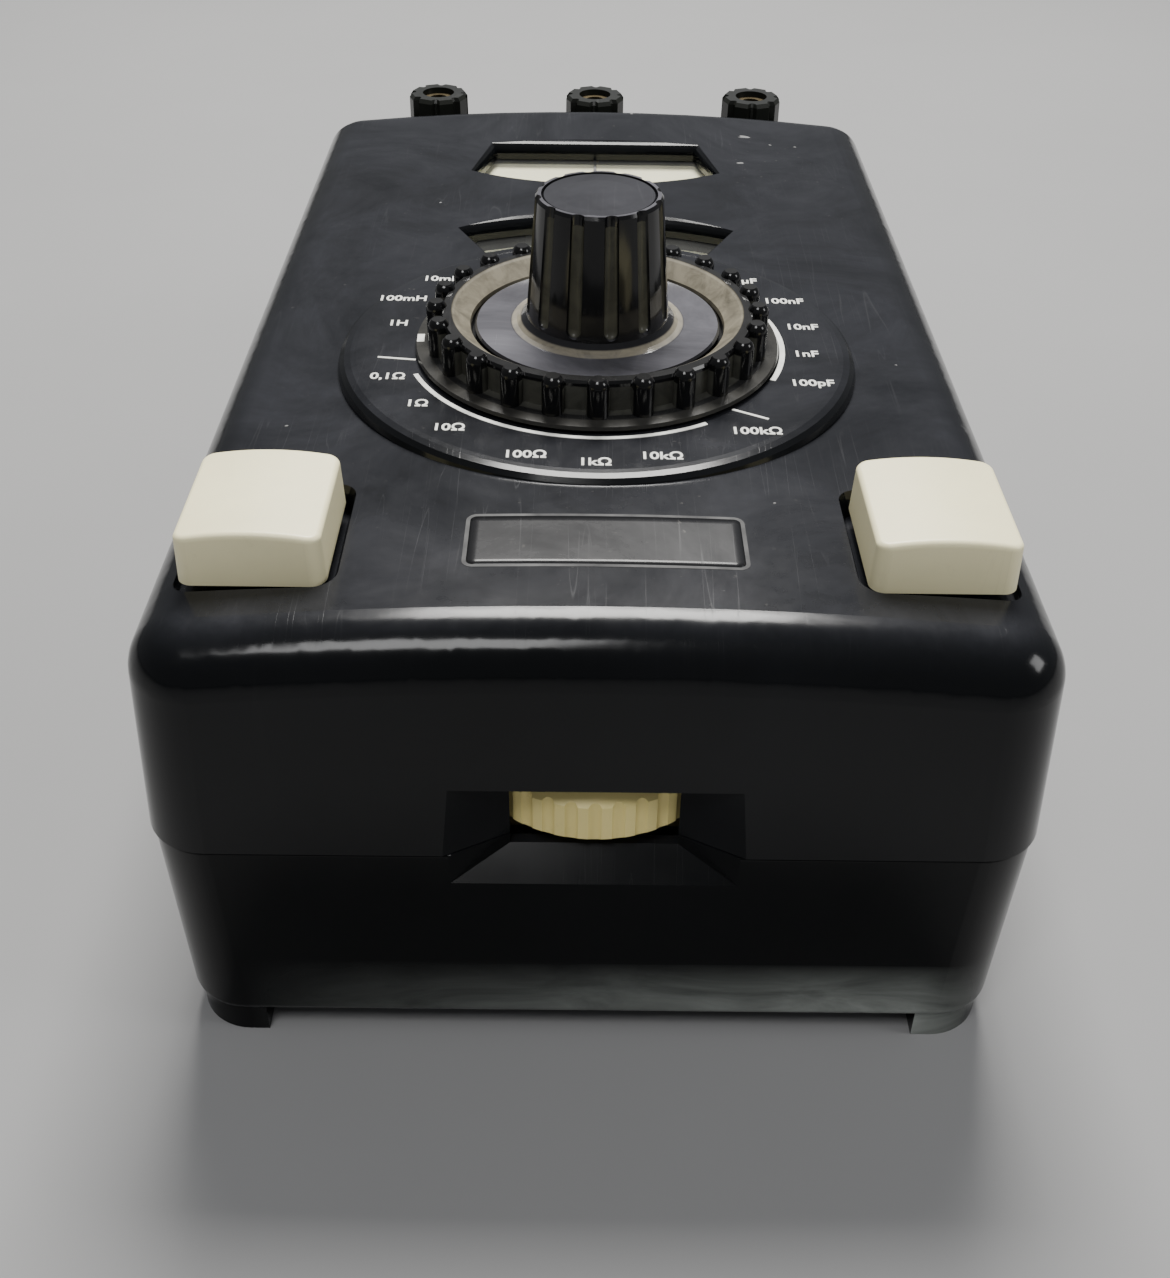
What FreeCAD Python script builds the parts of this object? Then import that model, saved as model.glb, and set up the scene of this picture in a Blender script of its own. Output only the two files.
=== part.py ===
import FreeCAD, Part
import math
import os
from FreeCAD import Vector as V

os.makedirs("parts", exist_ok=True)

# ---------------------------------------------------------------- driving dimensions, mm
HW_PART = 60.4        # half width of the upper shell at the parting line
HW_TOP = 58.9         # half width where the side meets the top
Y_END = 107.8         # half length of the case at the parting line
Y_TOPR = 91.2         # rear of the raised top panel
Z_PART = 38.3         # parting line
Z_SIDE = 69.6         # side edge of the top panel
Z_CROWN = 72.8        # top panel on the centre line
R_CROWN = 541.0       # crown radius of the top panel
WALL = 2.6            # shell wall
Z_SHELF = 56.0        # lowered rear shelf that carries the terminals
Z_WALL = 4.7          # lower edge of the walls between the feet
HW_LOW = 60.05        # half width of the lower shell at the parting line
HW_BASE = 59.2        # half width of the lower shell at its base
Z_FLOOR = 7.3         # inner floor
AX, AY = 0.0, -30.3   # dial axis
R_BOSS = 40.3         # raised dial boss
Z_BOSS = 73.8
X_COL, Y_COL = 51.0, 98.0      # screw columns
R_RING = 24.4         # selector ring wall
R_RIB = 26.5          # over the ribs
N_RIB = 24
Z_RING = 80.9
R_SKIRT = 19.2        # balance knob skirt
Z_SKIRT = 78.0
R_KNOB0 = 11.1        # knob at its base
R_KNOB1 = 9.6         # knob at its rim
Z_KNOB0 = 79.4
Z_KNOB1 = 98.4
N_FLUTE = 12
WIN_R0, WIN_R1 = 44.5, 55.9   # scale window, radii about the dial axis
WIN_A = 26.0                  # half angle of the scale window
BTN_X, BTN_Y = 44.0, -81.5    # push buttons
BTN_W, BTN_L = 19.0, 21.6
BTN_Z0, BTN_Z1 = 70.6, 77.4
BTN_R = 2.4
TERM_X, TERM_Y = 35.8, 99.5   # terminals
TERM_R = 6.7
Z_TERM, Z_POST = 72.0, 70.8    # tops of the caps and of the posts
REC_HW, REC_Z0, REC_Z1 = 20.2, 32.3, 49.7   # front recess at the face
SLOT_HW, SLOT_Z0, SLOT_Z1 = 11.3, 36.4, 49.4
TW_Y, TW_R, TW_Z0, TW_Z1 = -88.0, 18.0, 39.0, 47.0   # thumbwheel
Z_PLATE = 33.0        # chassis plate underside
T_PLATE = 2.0
GAL_Y = 74.0          # galvanometer pivot


# ---------------------------------------------------------------- helpers
def box(x0, y0, z0, x1, y1, z1):
    return Part.makeBox(x1 - x0, y1 - y0, z1 - z0, V(x0, y0, z0))


def cyl(x, y, z0, z1, r):
    return Part.makeCylinder(r, z1 - z0, V(x, y, z0))


def tube(x, y, z0, z1, ro, ri):
    return cyl(x, y, z0, z1, ro).cut(cyl(x, y, z0 - 1, z1 + 1, ri))


def ycyl(r, x, zc, y0, y1):
    """Cylinder lying along Y with its seam at the bottom."""
    c = Part.makeCylinder(r, y1 - y0, V(x, y0, zc), V(0, 1, 0))
    c.rotate(V(x, 0, zc), V(0, 1, 0), 90)
    return c


def cone(x, y, z0, z1, r0, r1):
    return Part.makeCone(r0, r1, z1 - z0, V(x, y, z0))


def rrect_wire(x0, y0, x1, y1, r, z):
    k = r * math.sqrt(0.5)
    e = []
    c = [(x1 - r, y0 + r, -90), (x1 - r, y1 - r, 0), (x0 + r, y1 - r, 90), (x0 + r, y0 + r, 180)]
    pts = []
    for cx, cy, a in c:
        tri = []
        for d in (0, 45, 90):
            t = math.radians(a + d)
            tri.append(V(cx + r * math.cos(t), cy + r * math.sin(t), z))
        pts.append(tri)
    for i in range(4):
        e.append(Part.Arc(*pts[i]).toShape())
        e.append(Part.makeLine(pts[i][2], pts[(i + 1) % 4][0]))
    return Part.Wire(e)


def rprism(x0, y0, x1, y1, r, z0, z1):
    return Part.Face(rrect_wire(x0, y0, x1, y1, r, z0)).extrude(V(0, 0, z1 - z0))


def loft(w):
    return Part.makeLoft(w, True, True)


def fillet(s, edges, radii):
    for r in radii:
        try:
            f = s.makeFillet(r, edges)
            if f.isValid() and f.Volume > 0:
                return f
        except Exception:
            pass
    print("fillet left out")
    return s


def rot(s, deg, x=AX, y=AY):
    t = s.copy()
    t.rotate(V(x, y, 0), V(0, 0, 1), deg)
    return t


def mv(s, x, y, z):
    t = s.copy()
    t.translate(V(x, y, z))
    return t


def fuse(parts):
    s = parts[0].multiFuse(parts[1:]) if len(parts) > 1 else parts[0]
    return s.removeSplitter()


def revolve(pts, x=AX, y=AY):
    w = Part.makePolygon([V(x + r, y, z) for r, z in pts] + [V(x + pts[0][0], y, pts[0][1])])
    return Part.Face(w).revolve(V(x, y, 0), V(0, 0, 1), 360)


def sector_wire(r0, r1, half, z, x=AX, y=AY):
    def p(r, a):
        t = math.radians(90 + a)
        return V(x + r * math.cos(t), y + r * math.sin(t), z)
    return Part.Wire([
        Part.Arc(p(r1, -half), p(r1, 0), p(r1, half)).toShape(),
        Part.makeLine(p(r1, half), p(r0, half)),
        Part.Arc(p(r0, half), p(r0, 0), p(r0, -half)).toShape(),
        Part.makeLine(p(r0, -half), p(r1, -half))])


def sector(r0, r1, half, z0, z1):
    return Part.Face(sector_wire(r0, r1, half, z0)).extrude(V(0, 0, z1 - z0))


def save(name, shape):
    solids = shape.Solids
    out = solids[0] if len(solids) == 1 else Part.makeCompound(solids)
    out.exportStep("parts/%s.step" % name)
    b = out.BoundBox
    print("%-22s solids %2d valid %s vol %9.1f  x %.1f..%.1f y %.1f..%.1f z %.1f..%.1f" % (
        name, len(solids), out.isValid(), out.Volume, b.XMin, b.XMax, b.YMin, b.YMax, b.ZMin, b.ZMax))


# ---------------------------------------------------------------- upper shell
def upper_solid(t):
    """Outer form for t = 0, inner hollow for t = WALL."""
    zt = 80.0
    k = (HW_PART - HW_TOP) / (Z_SIDE - Z_PART) * (zt - Z_PART)
    zb = Z_PART - (1.0 if t else 0.0)
    s = loft([rrect_wire(-HW_PART + t, -Y_END + t, HW_PART - t, Y_END - t, 9.0 - t, zb),
              rrect_wire(-HW_PART + k + t, -Y_END + k + t, HW_PART - k - t, Y_END - k * 0.4 - t, 9.0 - t, zt)])
    c = ycyl(R_CROWN - t, 0, Z_CROWN - R_CROWN, -150, 150)
    s = s.common(c)
    keep = rprism(-59.35 + t, -150, 59.35 - t, Y_TOPR - t, 8.5 - t, 30, 110)
    s = s.cut(box(-80, 60, Z_SHELF - t, 80, 130, 100).cut(keep))
    return s


def on_crown(e, t=0.0):
    for q in (0.02, 0.5, 0.98):
        p = e.valueAt(e.FirstParameter + (e.LastParameter - e.FirstParameter) * q)
        z = Z_CROWN - R_CROWN + math.sqrt((R_CROWN - t) ** 2 - p.x ** 2)
        if abs(p.z - z) > 0.03:
            return False
    return True


up = upper_solid(0.0)
top = [e for e in up.Edges if on_crown(e) and e.Length > 1]
up = fillet(up, top, (7.8, 7.2, 6.5, 6.0, 5.0, 4.0))
shelf = [e for e in up.Edges if abs(e.BoundBox.ZMax - Z_SHELF) < 0.02 and abs(e.BoundBox.ZMin - Z_SHELF) < 0.02
         and e.CenterOfMass.y > Y_TOPR + 1.5]
up = fillet(up, shelf, (2.5, 2.0, 1.0))

inner = upper_solid(WALL)
shell = up.cut(inner)

adds = []
# pocket floors under the buttons
for s in (-1, 1):
    pad = box(s * BTN_X - 12.2, BTN_Y - 13.4, 66.4, s * BTN_X + 12.2, BTN_Y + 13.4, 70.4).common(inner)
    adds.append(pad.cut(cyl(AX, AY, 60.0, 67.35, 57.2)))
# seats round the two windows for the panes
adds.append(box(-29, 39.5, 69.3, 29, 70.5, 71.5).common(inner))
adds.append(sector(41.0, 59.0, 31.0, 69.3, 71.5).common(inner))
# flat seat round the dial axis for the bush and the switch pillars
adds.append(cyl(AX, AY, 69.2, 71.5, 36.0).common(inner))
# screw columns
for x in (-X_COL, X_COL):
    for y in (-Y_COL, Y_COL):
        adds.append(cyl(x, y, Z_PART, 55 if y > 0 else 68, 4.5).common(inner))
# backing of the front recess
adds.append(box(-23.5, -106.5, Z_PART, 23.5, -101.6, 54.5).common(fuse([inner, up])))
# dial boss with a sloping rim
boss = revolve([(0, 70.6), (R_BOSS + 0.5, 70.6), (R_BOSS + 0.5, 72.1), (R_BOSS + 0.2, 72.9), (R_BOSS - 0.5, 73.48),
                (R_BOSS - 1.5, 73.73), (R_BOSS - 2.4, Z_BOSS), (0, Z_BOSS)])
adds.append(boss)
for a in adds:
    shell = shell.fuse(a)

cuts = []


def flared(wire_at, z_low, z_top, r):
    """Opening with a rounded rim: prism below, widening towards the surface."""
    f = Part.Face(wire_at(60.0))
    out = [f.extrude(V(0, 0, z_top + 3 - 60.0))]
    steps = 5
    prev = None
    for i in range(steps + 1):
        a = math.radians(90.0 * i / steps)
        off = r * (1 - math.cos(a))
        z = z_top - r + r * math.sin(a)
        w = wire_at(z, off)
        if prev is not None:
            out.append(loft([prev, w]))
        prev = w
    w2 = wire_at(z_top + 3, r)
    out.append(loft([prev, w2]))
    return out


def fan_wire(z, off=0.0):
    # galvanometer window: straight rear edge, slanting sides, front arc towards the dial
    yr, yf, xr, xf, rad = 64.6 + off, 50.6 - off, 20.6 + off * 1.1, 24.2 + off * 1.1, 44.2 + off
    p1, p2, p3, p4 = V(-xr, yr, z), V(xr, yr, z), V(xf, yf, z), V(-xf, yf, z)
    mid = V(0, 43.6 - off, z)
    return Part.Wire([Part.makeLine(p1, p2), Part.makeLine(p2, p3), Part.Arc(p3, mid, p4).toShape(),
                      Part.makeLine(p4, p1)])


def arc_wire(z, off=0.0):
    a = WIN_A + math.degrees(off / 52.0)
    return sector_wire(WIN_R0 - off, WIN_R1 + off, a, z)


cuts += flared(fan_wire, 60, Z_CROWN - 0.1, 2.2)
cuts += flared(arc_wire, 60, Z_CROWN - 0.1, 2.2)
# button pockets with a rounded lip
for s in (-1, 1):
    def pocket_wire(z, off=0.0, s=s):
        x0 = s * BTN_X
        return rrect_wire(x0 - BTN_W / 2 - 0.5 - off, BTN_Y - BTN_L / 2 - 0.5 - off,
                          x0 + BTN_W / 2 + 0.5 + off, BTN_Y + BTN_L / 2 + 0.5 + off, 2.3 + off, z)
    cuts.append(Part.Face(pocket_wire(68.0)).extrude(V(0, 0, 12)))
    cuts.append(loft([pocket_wire(69.2, 0.0), pocket_wire(72.4, 1.2)]))
    cuts.append(cyl(s * BTN_X, BTN_Y, 60, 70, 4.3))
# dial bush hole
cuts.append(cyl(AX, AY, 60, 80, 7.0))
# screw holes
for x in (-X_COL, X_COL):
    for y in (-Y_COL, Y_COL):
        cuts.append(cyl(x, y, Z_PART - 1, 50, 1.3))
# terminal holes
for x in (-TERM_X, 0, TERM_X):
    cuts.append(cyl(x, TERM_Y, 50, 60, 4.0))


def yz_frustum():
    """Front recess: full size at the face, narrowing to the slot behind it."""
    def w(y, hw, z0, z1):
        return Part.makePolygon([V(-hw, y, z0), V(hw, y, z0), V(hw, y, z1), V(-hw, y, z1), V(-hw, y, z0)])
    a = loft([w(-107.9, REC_HW, REC_Z0, REC_Z1), w(-103.2, SLOT_HW, SLOT_Z0, SLOT_Z1)])
    b = box(-REC_HW, -114, REC_Z0, REC_HW, -107.9, REC_Z1)
    c = box(-SLOT_HW, -104, SLOT_Z0, SLOT_HW, -97, SLOT_Z1)
    return [a, b, c]


recess = yz_frustum() + [cyl(0, TW_Y, TW_Z0 - 0.8, TW_Z1 + 0.8, TW_R + 0.6)]
for c in cuts + recess:
    shell = shell.cut(c)
shell = shell.removeSplitter()
save("upper_shell", shell)

# ---------------------------------------------------------------- lower shell
zl = Z_PART - 0.25
lo = loft([rrect_wire(-HW_BASE, -107.0, HW_BASE, 107.0, 9, Z_WALL), rrect_wire(-HW_LOW, -107.45, HW_LOW, 107.45, 9, zl)])
be = [e for e in lo.Edges if e.BoundBox.ZMax < Z_WALL + 0.1]
lo = fillet(lo, be, (1.6, 1.0))
te = [e for e in lo.Edges if e.BoundBox.ZMin > zl - 0.1]
lo = fillet(lo, te, (0.5,))
lin = loft([rrect_wire(-HW_BASE + WALL, -107.0 + WALL, HW_BASE - WALL, 107.0 - WALL, 6.4, Z_FLOOR),
            rrect_wire(-HW_LOW + WALL, -107.45 + WALL, HW_LOW - WALL, 107.45 - WALL, 6.4, zl + 1)])
low = lo.cut(lin)
ladd = []
plan = rprism(-HW_BASE + 0.8, -106.3, HW_BASE - 0.8, 106.3, 8.2, 0, Z_WALL + 1.8)
for x in (-1, 1):
    for y in (-1, 1):
        corner = rprism(min(x * 47.5, x * 62), min(y * 93, y * 109), max(x * 47.5, x * 62), max(y * 93, y * 109), 3, -1, Z_WALL + 1.6)
        foot = plan.common(corner)
        fe = [e for e in foot.Edges if e.BoundBox.ZMax < 0.1]
        ladd.append(fillet(foot, fe, (0.8, 0.5)))
        ladd.append(cyl(x * X_COL, y * Y_COL, Z_WALL + 1, zl, 4.8).common(lo))
        ladd.append(cyl(x * 46, y * 62, Z_WALL + 1, Z_PLATE, 4.0))
# inner lip that locates the upper shell
lipu = fuse([rprism(-57.35, -104.75, 57.35, 104.75, 6.0, zl - 1, Z_PART + 2.1),
             rprism(-58.3, -105.7, 58.3, 105.7, 7.0, zl - 4, zl - 0.3)])
lipi = rprism(-56.1, -103.5, 56.1, 103.5, 5.0, zl - 5, 45)
lip = lipu.cut(lipi)
lip = lip.cut(box(-26, -112, 30, 26, -97, 50))
ladd.append(lip)
ladd.append(box(-23.5, -106.5, 29.5, 23.5, -101.6, zl))
low = fuse([low] + ladd)
lcut = []
for x in (-X_COL, X_COL):
    for y in (-Y_COL, Y_COL):
        lcut.append(cyl(x, y, -1, 45, 1.8))
        lcut.append(cyl(x, y, -1, 10.0, 3.6))
for x in (-46, 46):
    for y in (-62, 62):
        lcut.append(cyl(x, y, 22, 40, 1.2))
# battery opening in the floor, with a seat for the cover
lcut.append(rprism(-34, 9, 34, 87, 2.5, 2, 9))
lcut.append(rprism(-36, 7, 36, 89, 2.5, 2, Z_WALL + 1.6))
low2 = low
for c in lcut + recess:
    low2 = low2.cut(c)
# bridge over the battery opening that the cover screw bites into
brg = box(-4.5, 3.0, Z_FLOOR - 0.1, 4.5, 16.5, Z_FLOOR + 3.0).fuse(box(-4.5, 3.0, Z_WALL + 1.6, 4.5, 8.9, Z_FLOOR))
brg = brg.fuse(cyl(0, 12.5, Z_WALL + 1.7, Z_FLOOR, 3.6)).cut(cyl(0, 12.5, 0, 14, 1.3))
low2 = fuse([low2, brg])
save("lower_shell", low2)

cover = rprism(-35.7, 7.3, 35.7, 88.7, 2.2, Z_WALL, Z_WALL + 1.55)
cover = fuse([cover] + [box(-28, 20 + 8 * i, Z_WALL + 1.4, 28, 21.4 + 8 * i, Z_WALL + 2.9) for i in range(8)])
cover = cover.cut(cyl(0, 12.5, 0, 8, 1.7))
save("battery_cover", cover)
cs = fuse([cyl(0, 12.5, Z_WALL - 1.3, Z_WALL, 3.0), cyl(0, 12.5, Z_WALL - 0.1, Z_FLOOR + 2.8, 1.25)])
cs = cs.cut(box(-4, 12.1, Z_WALL - 1.5, 4, 12.9, Z_WALL - 0.7))
save("cover_screw", cs)

# ---------------------------------------------------------------- case screws (group)
scr = []
for x in (-X_COL, X_COL):
    for y in (-Y_COL, Y_COL):
        s = fuse([cyl(x, y, 7.6, 10.0, 3.2), cyl(x, y, 10.0, 49.0, 1.25)])
        s = s.cut(box(x - 4, y - 0.45, 7.0, x + 4, y + 0.45, 8.5))
        scr.append(s)
save("case_screws", Part.makeCompound(scr))

# ---------------------------------------------------------------- chassis plate and its screws
pl = rprism(-53, -98.5, 53, 92, 3, Z_PLATE, Z_PLATE + T_PLATE)
ph = [cyl(AX, AY, 20, 50, 4.0), cyl(0, TW_Y, 20, 50, 4.5)]
for x in (-46, 46):
    for y in (-62, 62):
        ph.append(cyl(x, y, 20, 50, 1.5))
for x in (-42, 42):
    for y in (26, 54):
        ph.append(cyl(x, y, 20, 50, 1.5))
# notches round the screw columns
for x in (-X_COL, X_COL):
    ph.append(cyl(x, -Y_COL, 20, 50, 9.0))
    ph.append(cyl(x, Y_COL, 20, 50, 11.0))
pl = fuse([pl] + [cyl(x, y, 34.9, 38.6, 2.8) for x in (-42, 42) for y in (26, 54)])
for c in ph:
    pl = pl.cut(c)
save("chassis_plate", pl)
cscr = []
for x in (-46, 46):
    for y in (-62, 62):
        s = fuse([cyl(x, y, 35.0, 36.6, 2.7), cyl(x, y, 23.0, 35.0, 1.15)])
        s = s.cut(box(x - 3, y - 0.35, 36.0, x + 3, y + 0.35, 37.0))
        cscr.append(s)
for x in (-42, 42):
    for y in (26, 54):
        cscr.append(fuse([cyl(x, y, 40.2, 41.6, 2.6), cyl(x, y, 33.2, 40.3, 1.45)]))
save("chassis_screws", Part.makeCompound(cscr))

# ---------------------------------------------------------------- range selector
zr0 = Z_BOSS + 0.4
ringp = revolve([(5.0, zr0), (28.4, zr0), (28.6, zr0 + 0.3), (28.4, zr0 + 0.8), (26.4, zr0 + 1.0), (R_RING, zr0 + 1.3),
                 (R_RING, Z_RING - 1.2), (R_RING - 0.3, Z_RING - 0.8), (22.8, Z_RING - 0.7), (22.3, Z_RING - 1.0),
                 (19.9, 77.9), (19.6, 76.2), (7.4, 76.2), (7.4, 76.6), (5.0, 76.6)])
ribs = []
for i in range(N_RIB):
    r = fuse([cyl(AX, AY - 25.1, zr0 + 0.6, Z_RING - 1.2, 1.65),
              Part.makeSphere(1.65, V(AX, AY - 25.1, Z_RING - 1.2)).common(cyl(AX, AY - 25.1, Z_RING - 1.2, Z_RING + 0.1, 2))])
    r = r.cut(cyl(AX, AY, 60, 90, 23.4))
    ribs.append(rot(r, 360.0 / N_RIB * i))
ringp = ringp.multiFuse(ribs).removeSplitter()
save("range_ring", ringp)

selt = tube(AX, AY, 55.2, 76.6, 5.0, 3.35)
save("selector_tube", selt)
bush = fuse([tube(AX, AY, 64.6, Z_BOSS, 7.0, 5.06), tube(AX, AY, 66.6, 69.2, 9.5, 5.06)])
save("panel_bush", bush)
bnut = Part.makeCylinder(9.6, 1.8, V(AX, AY, 64.8))
hexw = Part.makePolygon([V(AX + 9.5 * math.cos(math.radians(60 * i)), AY + 9.5 * math.sin(math.radians(60 * i)), 64.7)
                         for i in range(7)])
bnut = Part.Face(hexw).extrude(V(0, 0, 1.9)).cut(cyl(AX, AY, 60, 70, 7.0))
save("bush_nut", bnut)
# stator wafer on two pillars, rotor on the tube
waf = tube(AX, AY, 58.6, 60.2, 26.0, 12.0)
for s in (-1, 1):
    waf = fuse([waf, box(AX + s * 24 if s > 0 else AX - 34, AY - 5, 58.6, AX + 34 if s > 0 else AX - 24, AY + 5, 60.2)])
for s in (-1, 1):
    waf = waf.cut(cyl(AX + s * 30, AY, 55, 62, 1.6))
clips = []
for i in range(18):
    a = -150 + 300.0 / 17 * i
    c = box(AX - 1.1, AY - 27.5, 60.2, AX + 1.1, AY - 13.4, 60.6)
    clips.append(rot(c, a))
save("switch_wafer", waf)
save("switch_contacts", Part.makeCompound(clips))
pil = []
for s in (-1, 1):
    p = fuse([tube(AX + s * 30, AY, 60.2, 69.2, 3.0, 1.5)])
    pil.append(p)
psc = []
for s in (-1, 1):
    p = fuse([cyl(AX + s * 30, AY, 57.2, 58.6, 2.8), cyl(AX + s * 30, AY, 58.5, 69.0, 1.4)])
    psc.append(p)
save("wafer_pillars", fuse(pil + psc))
rotor = fuse([tube(AX, AY, 56.4, 60.0, 11.4, 5.0)])
rotor = fuse([rotor, box(AX - 1.2, AY - 18.0, 61.0, AX + 1.2, AY - 5.5, 61.5).cut(cyl(AX, AY, 50, 70, 5.6)),
              tube(AX, AY, 59.9, 61.5, 8.0, 5.0)])
save("switch_rotor", rotor)

# ---------------------------------------------------------------- balance knob
kn = revolve([(3.2, 77.0), (R_SKIRT - 0.3, 77.0), (R_SKIRT, 77.3), (R_SKIRT, 77.7), (R_SKIRT - 0.35, Z_SKIRT),
              (13.6, Z_SKIRT + 0.1), (12.6, Z_SKIRT + 0.35), (11.9, Z_KNOB0 - 0.6), (R_KNOB0, Z_KNOB0), (R_KNOB1, Z_KNOB1 - 0.5),
              (R_KNOB1 - 0.35, Z_KNOB1), (8.7, Z_KNOB1), (8.5, Z_KNOB1 - 1.4), (3.2, Z_KNOB1 - 1.4)])
fl = []
for i in range(N_FLUTE):
    a = Part.makeCone(1.25, 1.1, Z_KNOB1 + 1.0 - (Z_KNOB0 + 1.6), V(AX, AY - R_KNOB0 - 0.15, Z_KNOB0 + 1.6),
                      V(0, (R_KNOB0 - R_KNOB1) / (Z_KNOB1 - Z_KNOB0), 1))
    b = Part.makeSphere(1.25, V(AX, AY - R_KNOB0 - 0.15, Z_KNOB0 + 1.6))
    fl.append(rot(fuse([a, b]), 10.5 + 30 * i))
for f in fl:
    kn = kn.cut(f)
save("balance_knob", kn)
cap = revolve([(0, Z_KNOB1 - 1.4), (8.5, Z_KNOB1 - 1.4), (8.62, Z_KNOB1 - 0.5), (8.3, Z_KNOB1 - 0.15), (6.0, Z_KNOB1 - 0.25),
               (3.0, Z_KNOB1 - 0.05), (0, Z_KNOB1 + 0.05)])
save("knob_cap", cap)
shaft = fuse([cyl(AX, AY, 30.0, Z_KNOB1 - 1.4, 3.25)])
shaft = shaft.cut(cyl(AX, AY, Z_KNOB1 - 1.4, 110, 5))
shaft = shaft.cut(tube(AX, AY, 76.9, Z_KNOB1, 6, 3.2))
save("balance_shaft", shaft)
# cup-shaped drum, with the scale ring on its rim
drum = revolve([(3.25, 52.4), (51.5, 52.4), (52.0, 53.0), (52.0, 65.2), (56.2, 65.2), (56.2, 66.1), (50.6, 66.1),
                (50.6, 53.8), (7.0, 53.8), (7.0, 54.9), (3.25, 54.9)])
holes = [rot(cyl(AX, AY - 28, 50, 60, 9.0), 60 * i) for i in range(6)]
for h in holes:
    drum = drum.cut(h)
save("scale_drum", drum)
sr = tube(AX, AY, 66.1, 67.0, 56.2, 43.4)
save("scale_ring", sr)
hub = tube(AX, AY, 46.0, 51.0, 7.0, 3.25)
arm = box(AX - 3.0, AY - 33.0, 46.2, AX + 3.0, AY - 5.5, 47.2)
fing = box(AX - 1.5, AY - 33.0, 42.8, AX + 1.5, AY - 30.0, 46.3)
save("wiper_arm", fuse([hub, arm.cut(cyl(AX, AY, 40, 60, 5.5)), fing]))
# slide wire former on the plate, with the winding over it
form = tube(AX, AY, 35.0, 42.0, 33.4, 29.4)
save("slide_former", form)
wnd = []
nturn = 64
for i in range(nturn):
    a = -155 + 310.0 / (nturn - 1) * i
    t = fuse([box(AX - 0.45, AY - 33.9, 42.0, AX + 0.45, AY - 29.0, 42.5),
              box(AX - 0.45, AY - 33.9, 36.0, AX + 0.45, AY - 33.4, 42.5)])
    t = t.cut(tube(AX, AY, 30, 42.0, 33.4, 10))
    wnd.append(rot(t, a))
save("slide_winding", Part.makeCompound(wnd))
bb = fuse([tube(AX, AY, 31.2, 36.5, 4.0, 3.31), tube(AX, AY, 35.0, 36.5, 8.0, 3.31)])
save("lower_bush", bb)

# ---------------------------------------------------------------- panes and galvanometer
pane = rprism(-28, 41.0, 28, 69.5, 2, 68.6, 69.3)
save("meter_pane", pane)
pane2 = sector(41.8, 58.2, 29.5, 68.6, 69.3)
# reference line plate for the balance scale: a narrow hair line frame under the pane
hair = box(-0.15, 13.4, 67.3, 0.15, 26.4, 68.7)
save("scale_pane", fuse([pane2, hair]))
plate = rprism(-29.5, 40.0, 29.5, 67.0, 2, 67.1, 67.9)
plate = fuse([plate])
std = []
for x in (-27.2, 27.2):
    for y in (42.6, 64.4):
        std.append(cyl(x, y, 67.5, 68.6, 1.0))
plate = fuse([plate] + std)
save("meter_scale", plate)
# magnet ring with a gap, core, and frame bridge
mag = tube(0, GAL_Y, 50.0, 60.0, 13.0, 9.0).cut(box(-3, GAL_Y + 5, 49, 3, GAL_Y + 20, 61))
save("meter_magnet", mag)
core = tube(0, GAL_Y, 51.0, 59.0, 6.0, 1.6)
save("meter_core", core)
frm = fuse([box(-15, GAL_Y - 13, 47.6, 15, GAL_Y + 13.5, 50.0)])
frm = frm.cut(cyl(0, GAL_Y, 45, 55, 1.0))
frm = fuse([frm, tube(0, GAL_Y, 50.0, 51.0, 6.0, 1.6)])
bridge = fuse([box(-15, GAL_Y - 2.5, 62.4, 15, GAL_Y + 2.5, 63.6), box(-15, GAL_Y - 2.5, 50.0, -13.2, GAL_Y + 2.5, 62.6),
               box(13.2, GAL_Y - 2.5, 50.0, 15, GAL_Y + 2.5, 62.6)])
bridge = bridge.cut(cyl(0, GAL_Y, 60, 66, 1.1))
save("meter_bridge", bridge)
legs = [cyl(x, y, 35.0, 47.6, 2.2) for x in (-12, 12) for y in (GAL_Y - 10, GAL_Y + 10)]
save("meter_base", fuse([frm] + legs))
# moving system
coil = fuse([box(-8.2, GAL_Y - 1.5, 60.0, 8.2, GAL_Y + 1.5, 61.2), box(-8.2, GAL_Y - 1.5, 50.6, -6.9, GAL_Y + 1.5, 60.5),
             box(6.9, GAL_Y - 1.5, 50.6, 8.2, GAL_Y + 1.5, 60.5)])
coil = coil.cut(cyl(0, GAL_Y, 45, 70, 0.9))
staff = cyl(0, GAL_Y, 59.4, 68.45, 0.9)
save("moving_coil", fuse([coil, staff]))
needle = fuse([box(-0.3, 46.0, 68.1, 0.3, GAL_Y - 0.5, 68.4), cyl(0, GAL_Y, 67.5, 68.4, 2.0),
               box(-0.8, GAL_Y, 68.1, 0.8, GAL_Y + 7, 68.4)])
needle = needle.cut(cyl(0, GAL_Y, 60, 70, 0.9))
save("meter_needle", needle)

# ---------------------------------------------------------------- push buttons


def button_cap(s):
    x0 = s * BTN_X
    w, l = BTN_W / 2, BTN_L / 2
    b = loft([rrect_wire(x0 - w, BTN_Y - l, x0 + w, BTN_Y + l, 2.0, BTN_Z0),
              rrect_wire(x0 - w + 0.35, BTN_Y - l + 0.35, x0 + w - 0.35, BTN_Y + l - 0.35, 1.8, BTN_Z1 + 3)])
    rc = 46.0
    b = b.common(ycyl(rc, x0, BTN_Z1 + 0.9 - rc, BTN_Y - 30, BTN_Y + 30))
    e = [q for q in b.Edges if q.BoundBox.ZMin > BTN_Z1 - 1.2]
    b = fillet(b, e, (0.8, 0.6, 0.4))
    b = b.cut(rprism(x0 - w + 2, BTN_Y - l + 2, x0 + w - 2, BTN_Y + l - 2, 1.5, BTN_Z0 - 1, BTN_Z0 + 3.6))
    b = fuse([b, tube(x0, BTN_Y, BTN_Z0, BTN_Z0 + 4.0, 6.0, 4.0)])
    return b.cut(cyl(x0, BTN_Y, BTN_Z0 - 1, BTN_Z0 + 3.6, 4.0))


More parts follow.
